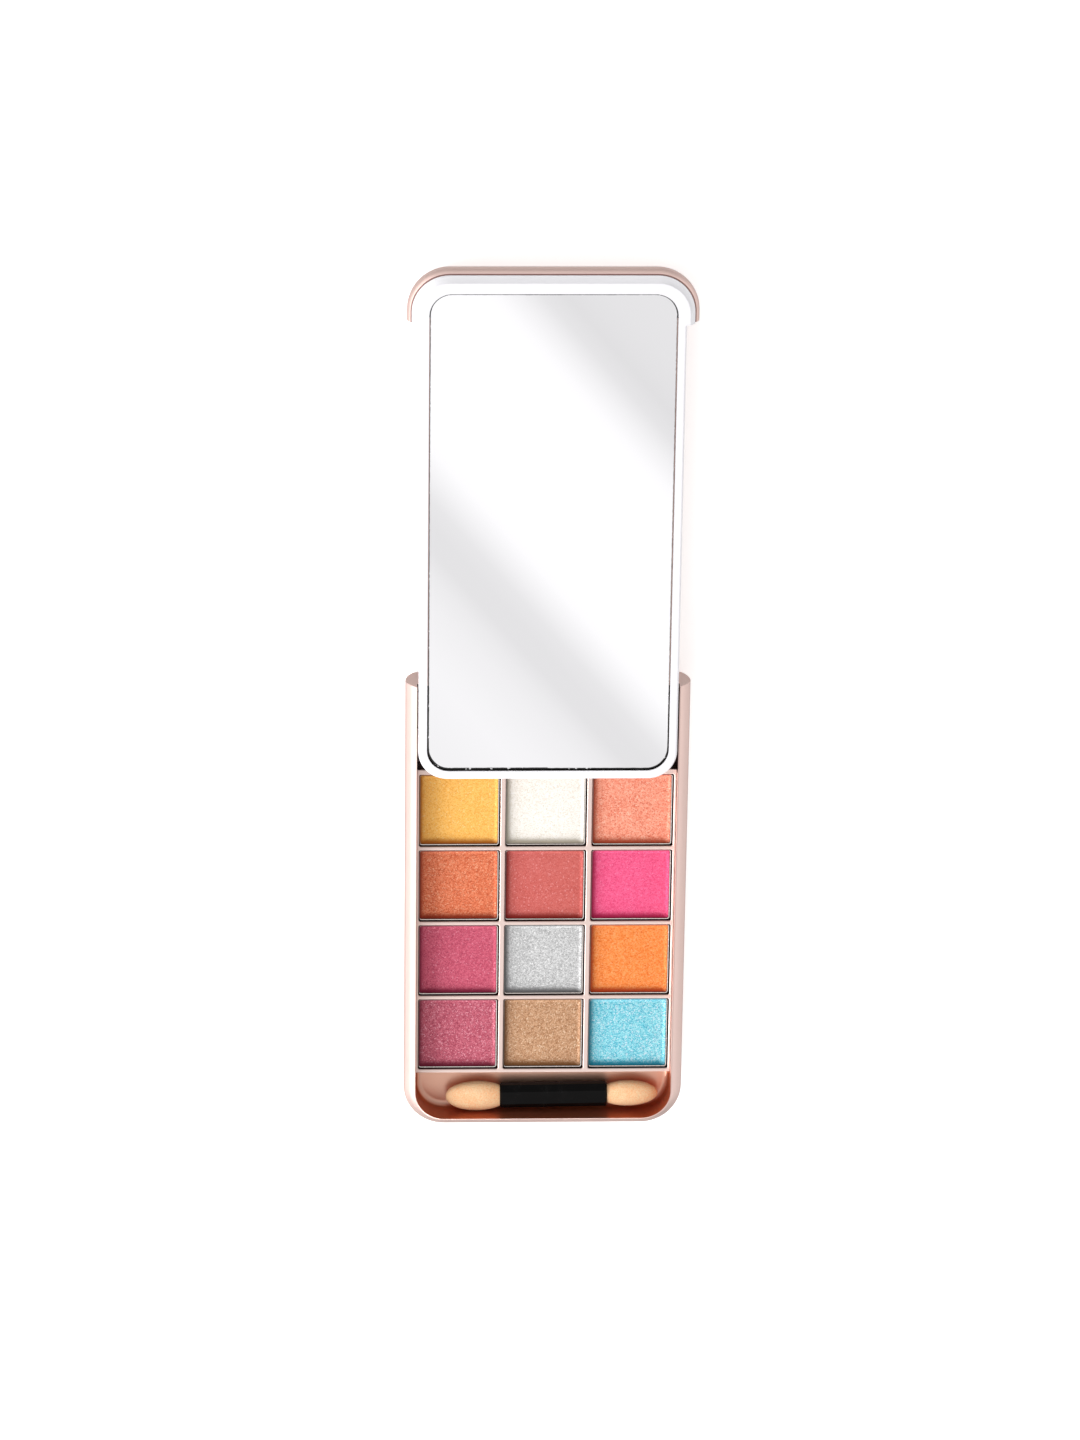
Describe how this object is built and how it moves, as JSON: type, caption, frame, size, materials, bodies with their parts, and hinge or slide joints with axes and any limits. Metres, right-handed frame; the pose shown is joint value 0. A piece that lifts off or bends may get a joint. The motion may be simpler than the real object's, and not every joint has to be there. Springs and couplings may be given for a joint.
{
  "type": "eyeshadow palette",
  "caption": "Slide-out eyeshadow palette: a mirror panel slides out of a rose-gold case over a grid of pressed powders in pans and a trough with a double-ended sponge applicator.",
  "frame": {"origin": "centre of the case's flat back face", "axes": "+Z out of the palette's face, +Y the way the mirror slider opens, +X to the right when looking at the face"},
  "size_m": [0.072, 0.2319, 0.0109],
  "materials": {
    "rose_gold_case": "satin metallic rose-gold lacquer",
    "tray": "satin pale rose-gold lacquer",
    "tin": "bright drawn metal",
    "white_frame": "glossy white",
    "mirror": "polished",
    "tape": "adhesive foam",
    "glue": "set glue",
    "black_handle": "glossy black",
    "core_plastic": "glossy black",
    "sponge": "fine foam",
    "powder_gold": "pressed shimmer powder",
    "powder_pearl": "pressed shimmer powder",
    "powder_coral": "pressed shimmer powder",
    "powder_copper": "pressed shimmer powder",
    "powder_rose": "pressed shimmer powder",
    "powder_hot_pink": "pressed shimmer powder",
    "powder_raspberry": "pressed shimmer powder",
    "powder_silver": "pressed shimmer powder",
    "powder_orange": "pressed shimmer powder",
    "powder_mauve": "pressed shimmer powder",
    "powder_bronze": "pressed shimmer powder",
    "powder_sky_blue": "pressed shimmer powder"
  },
  "bodies": {
    "case": {"case_shell": "rose_gold_case", "pan_tray": "tray", "pan_glue": "glue", "pan_gold": "tin", "powder_gold": "powder_gold", "pan_pearl": "tin", "powder_pearl": "powder_pearl", "pan_coral": "tin", "powder_coral": "powder_coral", "pan_copper": "tin", "powder_copper": "powder_copper", "pan_rose": "tin", "powder_rose": "powder_rose", "pan_hot_pink": "tin", "powder_hot_pink": "powder_hot_pink", "pan_raspberry": "tin", "powder_raspberry": "powder_raspberry", "pan_silver": "tin", "powder_silver": "powder_silver", "pan_orange": "tin", "powder_orange": "powder_orange", "pan_mauve": "tin", "powder_mauve": "powder_mauve", "pan_bronze": "tin", "powder_bronze": "powder_bronze", "pan_sky_blue": "tin", "powder_sky_blue": "powder_sky_blue"},
    "mirror_slider": {"slider_back": "rose_gold_case", "mirror_frame": "white_frame", "mirror": "mirror", "mirror_tape": "tape"},
    "applicator": {"applicator_handle": "black_handle", "applicator_core": "core_plastic", "sponge_tip_large": "sponge", "sponge_tip_small": "sponge"}
  },
  "joints": [
    {"name": "mirror_slide", "type": "slide", "parent": "case", "child": "mirror_slider", "axis": [0, 1, 0], "range_m": [-0.09525, 0]},
    {"name": "applicator_lift", "type": "slide", "parent": "case", "child": "applicator", "axis": [0, 0, 1], "range_m": [0, 0.03]}
  ]
}
